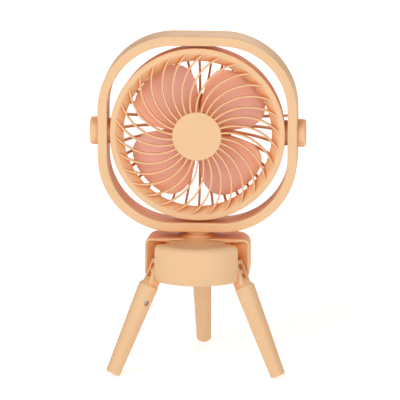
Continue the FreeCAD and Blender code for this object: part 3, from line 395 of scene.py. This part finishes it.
@dataclass(frozen=True)
class BoardLaminate(Finish):
    """Circuit board laminate with tracks under a lacquer."""

    def build(self) -> bpy.types.Material:
        """Makes the material."""
        material, sheet, shader, place = self.start()
        tracks = sheet.add("ShaderNodeTexVoronoi", distance="CHEBYCHEV", feature="DISTANCE_TO_EDGE")
        tracks.inputs["Scale"].default_value = TRACK_SCALE
        sheet.link(place, tracks.inputs["Vector"])
        lines = sheet.ramp(tracks.outputs["Distance"], 0.03, 0.07, 1.0, 0.0)
        sheet.link(sheet.mix(lines, self.colour, self.second), shader.inputs["Base Color"])
        sheet.link(sheet.ramp(lines, 0.0, 1.0, 0.25, 0.34), shader.inputs["Roughness"])
        self.raise_relief(sheet, shader, lines, TRACK_RELIEF)
        return material


# Mesh helpers

def rounded_outline(points: Profile, radii: Sequence[float], steps: int = 5) -> Profile:
    """Rounds the corners of a closed outline.

    Args:
        points: The outline's corners.
        radii: Rounding at each corner, 0 for a sharp one.
        steps: Segments in each rounding.

    Returns:
        The outline with its roundings.
    """
    result: Profile = []
    count = len(points)
    for index, radius in enumerate(radii):
        corner = Vector(points[index])
        before = (Vector(points[index - 1]) - corner).normalized()
        after = (Vector(points[(index + 1) % count]) - corner).normalized()
        if radius == 0:
            result.append(tuple(corner))
            continue
        half = before.angle(after) / 2
        reach = radius / math.tan(half)
        start = corner + before * reach
        end = corner + after * reach
        middle = corner + (before + after).normalized() * (radius / math.sin(half))
        first = start - middle
        last = end - middle
        for step in range(steps + 1):
            direction = first.lerp(last, step / steps).normalized() * radius
            result.append(tuple(middle + direction))
    return result


def head_point(centre: Vector, radius: float, angle: float, height: float) -> Vector:
    """Place in the fan head.

    Args:
        centre: The point where the head's axis crosses the tilt axis.
        radius: Distance from the head's axis.
        angle: Radians clockwise from straight up, seen from the front.
        height: Distance in front of the tilt axis.

    Returns:
        The point in the frame.
    """
    return centre + Vector((radius * math.sin(angle), -height, radius * math.cos(angle)))


def finished_object(name: str, mesh: bpy.types.Mesh, smooth_angle: float = 35.0) -> bpy.types.Object:
    """Links a mesh as an object with smooth faces and sharp creases.

    Args:
        name: The object's name.
        mesh: Its mesh.
        smooth_angle: Creases sharper than this many degrees stay sharp.

    Returns:
        The object, at the origin.
    """
    mesh.shade_smooth()
    mesh.set_sharp_from_angle(angle=math.radians(smooth_angle))
    piece = bpy.data.objects.new(name, mesh)
    bpy.context.scene.collection.objects.link(piece)
    return piece


def closed_mesh(name: str, build: Callable[[bmesh.types.BMesh], None]) -> bpy.types.Mesh:
    """Runs a builder on an empty mesh, merges its doubles and turns its faces outwards."""
    work = bmesh.new()
    build(work)
    bmesh.ops.remove_doubles(work, verts=work.verts, dist=1e-7)
    bmesh.ops.recalc_face_normals(work, faces=work.faces)
    mesh = bpy.data.meshes.new(name)
    work.to_mesh(mesh)
    work.free()
    return mesh


def lathe(work: bmesh.types.BMesh, outline: Profile, centre: Vector, steps: int = 160) -> None:
    """Adds a ring of revolution about the head's axis.

    Args:
        work: The mesh to add to.
        outline: Closed outline of (radius, height) points.
        centre: The point where the head's axis crosses the tilt axis.
        steps: Segments round the axis.
    """
    rings = []
    for step in range(steps):
        angle = 2 * math.pi * step / steps
        rings.append([work.verts.new(head_point(centre, r, angle, h)) for r, h in outline])
    for step, ring in enumerate(rings):
        after = rings[(step + 1) % steps]
        for k in range(len(outline)):
            nxt = (k + 1) % len(outline)
            work.faces.new((ring[k], ring[nxt], after[nxt], after[k]))


def source_object(name: str, mesh: bpy.types.Mesh) -> bpy.types.Object:
    """Links a mesh as a passing object that takes modifiers."""
    source = bpy.data.objects.new(name + "_source", mesh)
    bpy.context.scene.collection.objects.link(source)
    return source


def baked_mesh(source: bpy.types.Object) -> bpy.types.Mesh:
    """Makes a plain mesh of a passing object with its modifiers, and removes the object."""
    graph = bpy.context.evaluated_depsgraph_get()
    mesh = bpy.data.meshes.new_from_object(source.evaluated_get(graph))
    source.modifiers.clear()
    bpy.data.objects.remove(source)
    return mesh


def ring_array_tree() -> bpy.types.NodeTree:
    """Geometry nodes that repeat a shape round the head's axis."""
    tree = bpy.data.node_groups.new("Ring array", "GeometryNodeTree")
    face = tree.interface
    face.new_socket("Shape", in_out="INPUT", socket_type="NodeSocketGeometry")
    face.new_socket("Count", in_out="INPUT", socket_type="NodeSocketInt")
    face.new_socket("Centre", in_out="INPUT", socket_type="NodeSocketVector")
    face.new_socket("Finish", in_out="INPUT", socket_type="NodeSocketMaterial")
    face.new_socket("Ring", in_out="OUTPUT", socket_type="NodeSocketGeometry")
    sheet = NodeSheet(tree)
    given = sheet.add("NodeGroupInput")
    points = sheet.add("GeometryNodePoints")
    index = sheet.add("GeometryNodeInputIndex")
    step = sheet.add("ShaderNodeMath", operation="DIVIDE")
    turn = sheet.add("ShaderNodeMath", operation="MULTIPLY")
    spin = sheet.add("ShaderNodeCombineXYZ")
    place = sheet.add("GeometryNodeInstanceOnPoints")
    real = sheet.add("GeometryNodeRealizeInstances")
    paint = sheet.add("GeometryNodeSetMaterial")
    result = sheet.add("NodeGroupOutput")
    sheet.link(given.outputs["Count"], points.inputs["Count"])
    sheet.link(given.outputs["Centre"], points.inputs["Position"])
    step.inputs[0].default_value = 2 * math.pi
    sheet.link(given.outputs["Count"], step.inputs[1])
    sheet.link(step.outputs[0], turn.inputs[0])
    sheet.link(index.outputs[0], turn.inputs[1])
    sheet.link(turn.outputs[0], spin.inputs["Y"])
    sheet.link(points.outputs[0], place.inputs["Points"])
    sheet.link(given.outputs["Shape"], place.inputs["Instance"])
    sheet.link(spin.outputs[0], place.inputs["Rotation"])
    sheet.link(place.outputs[0], real.inputs[0])
    sheet.link(real.outputs[0], paint.inputs["Geometry"])
    sheet.link(given.outputs["Finish"], paint.inputs["Material"])
    sheet.link(paint.outputs[0], result.inputs["Ring"])
    return tree


RING_ARRAY = ring_array_tree()


def ring_of(name: str, shape: bpy.types.Mesh, count: int, centre: Vector, finish: bpy.types.Material,
            smooth_angle: float = 35.0) -> bpy.types.Object:
    """Repeats a shape round the head's axis and makes the result a plain mesh.

    Args:
        name: The piece's name.
        shape: One repeat, built about the origin.
        count: Number of repeats.
        centre: The point that they turn about.
        finish: Their material.
        smooth_angle: Creases sharper than this many degrees stay sharp.

    Returns:
        The piece.
    """
    source = source_object(name, shape)
    array = source.modifiers.new("Ring array", "NODES")
    array.node_group = RING_ARRAY
    values = {"Count": count, "Centre": tuple(centre), "Finish": finish}
    for item in RING_ARRAY.interface.items_tree:
        if item.name in values:
            array[item.identifier] = values[item.name]
    return finished_object(name, baked_mesh(source), smooth_angle)


def settle(piece: bpy.types.Object, body: Body, slot: str, *replaced: str) -> None:
    """Lets a piece ride on its body and hides the CAD nodes that it takes the place of.

    Args:
        piece: The finished piece.
        body: The body that it moves with.
        slot: The record's material slot; not used.
        *replaced: CAD nodes that it takes the place of.
    """
    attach(piece, body.value)
    if replaced:
        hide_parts(*replaced)
    LOG.info("%s rides on %s", piece.name, body.value)


# Sub-assemblies

@dataclass
class FrontGrille:
    """Flat ring with a conical dish, a hub plate and thirty swept ribs."""

    finish: bpy.types.Material
    centre: Vector = field(default_factory=lambda: joint_place("head_tilt"))
    ribs: int = 30
    ring_outer: float = 75.0 * MM
    ring_front: float = 14.0 * MM
    ring_back: float = 11.2 * MM
    flat_inner: float = 70.3 * MM
    throat: float = 63.3 * MM
    throat_front: float = 9.0 * MM
    dish_wall: float = 1.6 * MM
    dish_inset: float = 1.3 * MM
    skirt_outer: float = 71.7 * MM
    skirt_wall: float = 1.6 * MM
    skirt_back: float = 6.4 * MM
    hub_radius: float = 21.0 * MM
    hub_front: float = 19.8 * MM
    hub_plate: float = 3.6 * MM
    hub_bore: float = 14.0 * MM
    rib_width: float = 1.7 * MM
    rib_depth: float = 4.4 * MM
    rib_front: tuple[float, float] = (20.6 * MM, 14.25 * MM)
    rib_path: tuple[tuple[float, float], ...] = ((20.2 * MM, -13.9), (44.6 * MM, -3.5), (70.6 * MM, 16.8))
    rib_steps: int = 26

    def ring_outline(self) -> Profile:
        """Cross section of the ring and its dish."""
        points = [
            (self.ring_outer, self.ring_back), (self.ring_outer, self.ring_front),
            (self.flat_inner, self.ring_front), (self.throat, self.throat_front),
            (self.throat, self.throat_front - self.dish_wall),
            (self.flat_inner - self.dish_inset, self.ring_back),
        ]
        return rounded_outline(points, [0.3 * MM, 0.9 * MM, 0.5 * MM, 0.7 * MM, 0.4 * MM, 0.0])

    def skirt_outline(self) -> Profile:
        """Cross section of the skirt that plugs into the rear housing."""
        inner = self.skirt_outer - self.skirt_wall
        top = self.ring_back + 0.1 * MM
        points = [(self.skirt_outer, self.skirt_back), (self.skirt_outer, top), (inner, top),
                  (inner, self.skirt_back)]
        return rounded_outline(points, [0.4 * MM, 0.0, 0.0, 0.4 * MM])

    def hub_outline(self) -> Profile:
        """Cross section of the plate behind the hub disc."""
        back = self.hub_front - self.hub_plate
        points = [(self.hub_radius, back), (self.hub_radius, self.hub_front),
                  (self.hub_bore, self.hub_front), (self.hub_bore, back)]
        return rounded_outline(points, [0.6 * MM, 0.0, 0.0, 0.3 * MM])

    def path_points(self) -> list[Vector]:
        """Points of a rib's arc in plan, about the head's axis."""
        first, middle, last = (
            Vector((r * math.sin(math.radians(a)), r * math.cos(math.radians(a)))) for r, a in self.rib_path)
        chord_a = middle - first
        chord_b = last - middle
        cross = chord_a.x * chord_b.y - chord_a.y * chord_b.x
        mid_a = (first + middle) / 2
        mid_b = (middle + last) / 2
        shift = ((mid_b - mid_a).dot(chord_b)) / cross
        centre = mid_a + Vector((-chord_a.y, chord_a.x)) * shift
        start = math.atan2(*(first - centre).yx)
        end = math.atan2(*(last - centre).yx)
        span = (end - start + math.pi) % (2 * math.pi) - math.pi
        radius = (first - centre).length
        return [centre + Vector((math.cos(start + span * k / self.rib_steps),
                                 math.sin(start + span * k / self.rib_steps))) * radius
                for k in range(self.rib_steps + 1)]

    def rib_mesh(self) -> bpy.types.Mesh:
        """One rib: a deep narrow section with a rounded front, swept along its arc."""
        path = self.path_points()
        half = self.rib_width / 2
        section = rounded_outline(
            [(half, 0.0), (-half, 0.0), (-half * 0.8, -self.rib_depth), (half * 0.8, -self.rib_depth)],
            [half * 0.9, half * 0.9, half * 0.5, half * 0.5], 4)
        near, far = self.rib_front

        def build(work: bmesh.types.BMesh) -> None:
            """Sweeps the section."""
            rings = []
            for index, point in enumerate(path):
                ahead = path[min(index + 1, len(path) - 1)] - path[max(index - 1, 0)]
                side = Vector((ahead.y, -ahead.x)).normalized()
                share = (point.length - self.hub_radius) / (self.flat_inner - self.hub_radius)
                front = near + (far - near) * max(share, 0.0)
                ring = []
                for across, depth in section:
                    place = point + side * across
                    ring.append(work.verts.new((place.x, -(front + depth), place.y)))
                rings.append(ring)
            count = len(section)
            for a, b in zip(rings, rings[1:]):
                for k in range(count):
                    work.faces.new((a[k], a[(k + 1) % count], b[(k + 1) % count], b[k]))
            work.faces.new(rings[0])
            work.faces.new(list(reversed(rings[-1])))

        return closed_mesh("front_rib", build)

    def build(self) -> None:
        """Makes the ring with its hub plate, and the ribs."""
        def rings(work: bmesh.types.BMesh) -> None:
            """Turns the three round sections."""
            for outline in (self.ring_outline(), self.skirt_outline(), self.hub_outline()):
                lathe(work, outline, self.centre)

        ring = finished_object("front_grille_ring", closed_mesh("front_grille_ring", rings))
        ring.data.materials.append(self.finish)
        settle(ring, Body.HEAD, "shell_plastic", "front_grille")
        ribs = ring_of("front_grille_ribs", self.rib_mesh(), self.ribs, self.centre, self.finish, 50.0)
        settle(ribs, Body.HEAD, "shell_plastic", "front_grille")


@dataclass
class FanWheel:
    """Four broad pitched blades on a domed hub."""

    finish: bpy.types.Material
    centre: Vector = field(default_factory=lambda: joint_place("blade_spin"))
    blades: int = 4
    first_blade: float = 48.0
    half_span: float = 42.0
    blade_root: float = 16.2 * MM
    blade_reach: float = 62.0 * MM
    blade_middle: float = -1.5 * MM
    blade_drop: float = 15.0 * MM
    blade_camber: float = 0.9 * MM
    blade_wall: float = 1.5 * MM
    blade_edge: float = 0.45 * MM
    blade_fullness: float = 0.93
    blade_net: tuple[int, int] = (26, 14)
    hub_radius: float = 18.0 * MM
    hub_front: float = 8.0 * MM
    hub_back: float = -11.0 * MM
    hub_wall: float = 2.0 * MM
    hub_steps: int = 96
    shaft_bore: float = 1.6 * MM
    shaft_boss: float = 4.0 * MM
    boss_back: float = -8.0 * MM

    def reach(self, share: float) -> float:
        """Outer edge of a blade at a share of its half span."""
        fullness = 1.0 - abs(share) ** 4 * self.blade_fullness
        return self.blade_root + (self.blade_reach - self.blade_root) * math.sqrt(fullness)

    def blade_mesh(self) -> bpy.types.Mesh:
        """One blade about the origin, with rounded edges."""
        across, along = self.blade_net
        turn = math.radians(self.first_blade)

        def build(work: bmesh.types.BMesh) -> None:
            """Lays a net of points over the blade's middle surface."""
            net = []
            for i in range(across + 1):
                share = 2 * i / across - 1
                angle = turn + math.radians(self.half_span) * share
                level = self.blade_middle - self.blade_drop * share / 2
                level -= self.blade_camber * math.cos(share * math.pi / 2)
                reach = self.reach(share)
                row = []
                for j in range(along + 1):
                    radius = self.blade_root + (reach - self.blade_root) * j / along
                    row.append(work.verts.new(head_point(Vector(), radius, angle, level)))
                net.append(row)
            for a, b in zip(net, net[1:]):
                for j in range(along):
                    work.faces.new((a[j], a[j + 1], b[j + 1], b[j]))

        source = source_object("fan_blade", closed_mesh("fan_blade", build))
        wall = source.modifiers.new("Wall", "SOLIDIFY")
        wall.thickness = self.blade_wall
        wall.offset = 0.0
        edge = source.modifiers.new("Edge", "BEVEL")
        edge.width = self.blade_edge
        edge.segments = 3
        edge.angle_limit = math.radians(50)
        return baked_mesh(source)

    def hub_outline(self) -> Profile:
        """Cross section of the cup shaped hub."""
        inner = self.hub_radius - self.hub_wall
        under = self.hub_front - 2 * self.hub_wall
        points = [
            (self.shaft_bore, self.hub_front), (self.hub_radius, self.hub_front),
            (self.hub_radius, self.hub_back), (inner, self.hub_back),
            (inner, under), (self.shaft_boss, under),
            (self.shaft_boss, self.boss_back), (self.shaft_bore, self.boss_back),
        ]
        return rounded_outline(points, [0, 3 * MM, 0.5 * MM, 0.5 * MM, 1 * MM, 0.5 * MM, 0.3 * MM, 0.2 * MM])

    def build(self) -> None:
        """Makes the hub and the blades."""
        def turned(work: bmesh.types.BMesh) -> None:
            """Turns the hub and closes its nose."""
            lathe(work, self.hub_outline(), self.centre, self.hub_steps)
            turns = [2 * math.pi * k / self.hub_steps for k in range(self.hub_steps)]
            rim = [head_point(self.centre, self.shaft_bore, turn, self.hub_front) for turn in turns]
            work.faces.new([work.verts.new(point) for point in rim])

        hub = finished_object("fan_wheel_hub", closed_mesh("fan_wheel_hub", turned))
        hub.data.materials.append(self.finish)
        settle(hub, Body.IMPELLER, "blade_plastic", "fan_blades")
        blades = ring_of("fan_wheel_blades", self.blade_mesh(), self.blades, self.centre, self.finish, 60.0)
        settle(blades, Body.IMPELLER, "blade_plastic", "fan_blades")


@dataclass
class CarriedPieces:
    """The pieces whose shape comes from the frame, and the finish of each."""

    finishes: dict[str, bpy.types.Material]

    def build(self) -> None:
        """Gives every carried piece the finish of its material slot."""
        slots = {entry["node"]: entry["material_slot"] for entry in frame["record"]["subparts"]}
        for name, piece in sorted(frame["nodes"].items()):
            piece.data.materials.clear()
            piece.data.materials.append(self.finishes[slots[name]])
            LOG.info("%s takes %s", name, slots[name])


@dataclass(frozen=True)
class SoftLight:
    """One square area light."""

    name: str
    place: tuple[float, float, float]
    size: float
    power: float
    colour: Colour = (1.0, 1.0, 1.0)

    def hang(self, aim: Vector) -> None:
        """Hangs the light so that it faces a point."""
        light = bpy.data.lights.new(self.name, "AREA")
        light.size = self.size
        light.energy = self.power
        light.color = self.colour
        lamp = bpy.data.objects.new(self.name, light)
        lamp.location = self.place
        lamp.rotation_mode = "QUATERNION"
        lamp.rotation_quaternion = (aim - Vector(self.place)).to_track_quat("-Z", "Y")
        bpy.context.scene.collection.objects.link(lamp)


@dataclass
class Studio:
    """Pale floor, soft lights and the camera."""

    width_shown: float = 0.3436
    distance: float = 3.5
    azimuth: float = 3.5
    elevation: float = 13.0
    target_height: float = 0.1462
    target_right: float = 0.0015
    sensor: float = 36.0
    aim_height: float = 0.16
    floor_half: float = 6.0
    floor_level: float = -0.2 * MM
    floor_colour: Colour = (0.93, 0.93, 0.93)
    floor_glow: Colour = (0.9, 0.95, 1.0)
    floor_glow_strength: float = 0.42
    air_colour: Colour = (1.0, 0.88, 0.80)
    air_strength: float = 0.48
    lights: tuple[SoftLight, ...] = (
        SoftLight("key_light", (-0.9, -1.6, 1.4), 1.4, 23.0),
        SoftLight("fill_light", (0.9, -2.2, 0.6), 1.3, 16.0),
        SoftLight("back_light", (0.3, 1.6, 1.2), 1.4, 12.0, (1.0, 0.84, 0.76)),
    )

    def floor(self) -> None:
        """Lays a wide pale floor."""
        half = self.floor_half
        corners = [(-half, -half, 0), (half, -half, 0), (half, half, 0), (-half, half, 0)]
        mesh = bpy.data.meshes.new("floor")
        mesh.from_pydata(corners, [], [(0, 1, 2, 3)])
        floor = bpy.data.objects.new("floor", mesh)
        bpy.context.scene.collection.objects.link(floor)
        paper = bpy.data.materials.new("white_paper")
        paper.use_nodes = True
        shader = paper.node_tree.nodes["Principled BSDF"]
        shader.inputs["Base Color"].default_value = (*self.floor_colour, 1.0)
        shader.inputs["Roughness"].default_value = 0.9
        shader.inputs["Emission Color"].default_value = (*self.floor_glow, 1.0)
        shader.inputs["Emission Strength"].default_value = self.floor_glow_strength
        mesh.materials.append(paper)
        floor.location.z = self.floor_level

    def camera(self, neck: Vector) -> None:
        """Places the camera at the photograph's angle."""
        a = math.radians(self.azimuth)
        e = math.radians(self.elevation)
        back = Vector((math.sin(a) * math.cos(e), -math.cos(a) * math.cos(e), math.sin(e)))
        right = Vector((math.cos(a), math.sin(a), 0.0))
        target = Vector((neck.x, neck.y, self.target_height)) + right * self.target_right
        lens = bpy.data.cameras.new("camera")
        lens.sensor_width = self.sensor
        lens.lens = self.sensor * self.distance / self.width_shown
        lens.clip_start = 0.1
        lens.clip_end = 50.0
        camera = bpy.data.objects.new("camera", lens)
        camera.location = target + back * self.distance
        camera.rotation_mode = "QUATERNION"
        camera.rotation_quaternion = (-back).to_track_quat("-Z", "Y")
        bpy.context.scene.collection.objects.link(camera)
        bpy.context.scene.camera = camera

    def build(self) -> None:
        """Makes the floor, the light and the camera."""
        neck = joint_place("neck_swivel")
        aim = Vector((neck.x, neck.y, self.aim_height))
        self.floor()
        for light in self.lights:
            light.hang(aim)
        world = bpy.data.worlds.new("studio")
        world.use_nodes = True
        backdrop = world.node_tree.nodes["Background"]
        backdrop.inputs["Color"].default_value = (*self.air_colour, 1.0)
        backdrop.inputs["Strength"].default_value = self.air_strength
        bpy.context.scene.world = world
        bpy.context.scene.view_settings.view_transform = "Standard"
        self.camera(neck)


def make_finishes() -> dict[str, bpy.types.Material]:
    """Builds one material for each material slot."""
    finishes = {
        # The shell and the blades paint a deep orange shade into their occluded corners and hollows
        "shell_plastic": MouldedPlastic(
            "peach_shell", (0.665, 0.45, 0.265), (0.64, 0.425, 0.24), 0.10,
            glow=0.25, shine=0.22, painted_shade=(0.74, 0.27, 0.08)),
        "blade_plastic": MouldedPlastic(
            "pink_blades", (0.82, 0.475, 0.385), (0.79, 0.44, 0.35), 0.08,
            gloss=(0.34, 0.46), glow=0.2, shine=0.25, painted_shade=(0.85, 0.36, 0.14), painted_shade_reach=20 * MM),
        "bearing_plastic": MouldedPlastic(
            "bearing_nylon", (0.70, 0.40, 0.20), (0.64, 0.35, 0.17), 0.10, gloss=(0.45, 0.6)),
        "cell_wrap": MouldedPlastic(
            "cell_wrap", (0.03, 0.13, 0.24), (0.02, 0.10, 0.20), 0.04, gloss=(0.18, 0.28), coat=0.4),
        "screw_steel": WorkedMetal("zinc_screws", (0.55, 0.55, 0.55), (0.36, 0.35, 0.33), 0.25),
        "motor_steel": WorkedMetal(
            "motor_can_steel", (0.48, 0.48, 0.49), (0.40, 0.40, 0.40), 0.2,
            lines=3000.0, brush=Brush.TURNED),
        "board_green": BoardLaminate("board_lacquer", (0.01, 0.09, 0.035), (0.03, 0.16, 0.06), 0.3),
        "clear_window": FrostedWindow("frosted_window", (0.85, 0.86, 0.84), (0.75, 0.77, 0.76)),
    }
    return {slot: finish.build() for slot, finish in finishes.items()}


def main() -> None:
    logging.basicConfig(level=logging.INFO, format="%(message)s")
    finishes = make_finishes()
    CarriedPieces(finishes).build()
    FrontGrille(finishes["shell_plastic"]).build()
    FanWheel(finishes["blade_plastic"]).build()
    Studio().build()


if __name__ == "__main__":
    main()
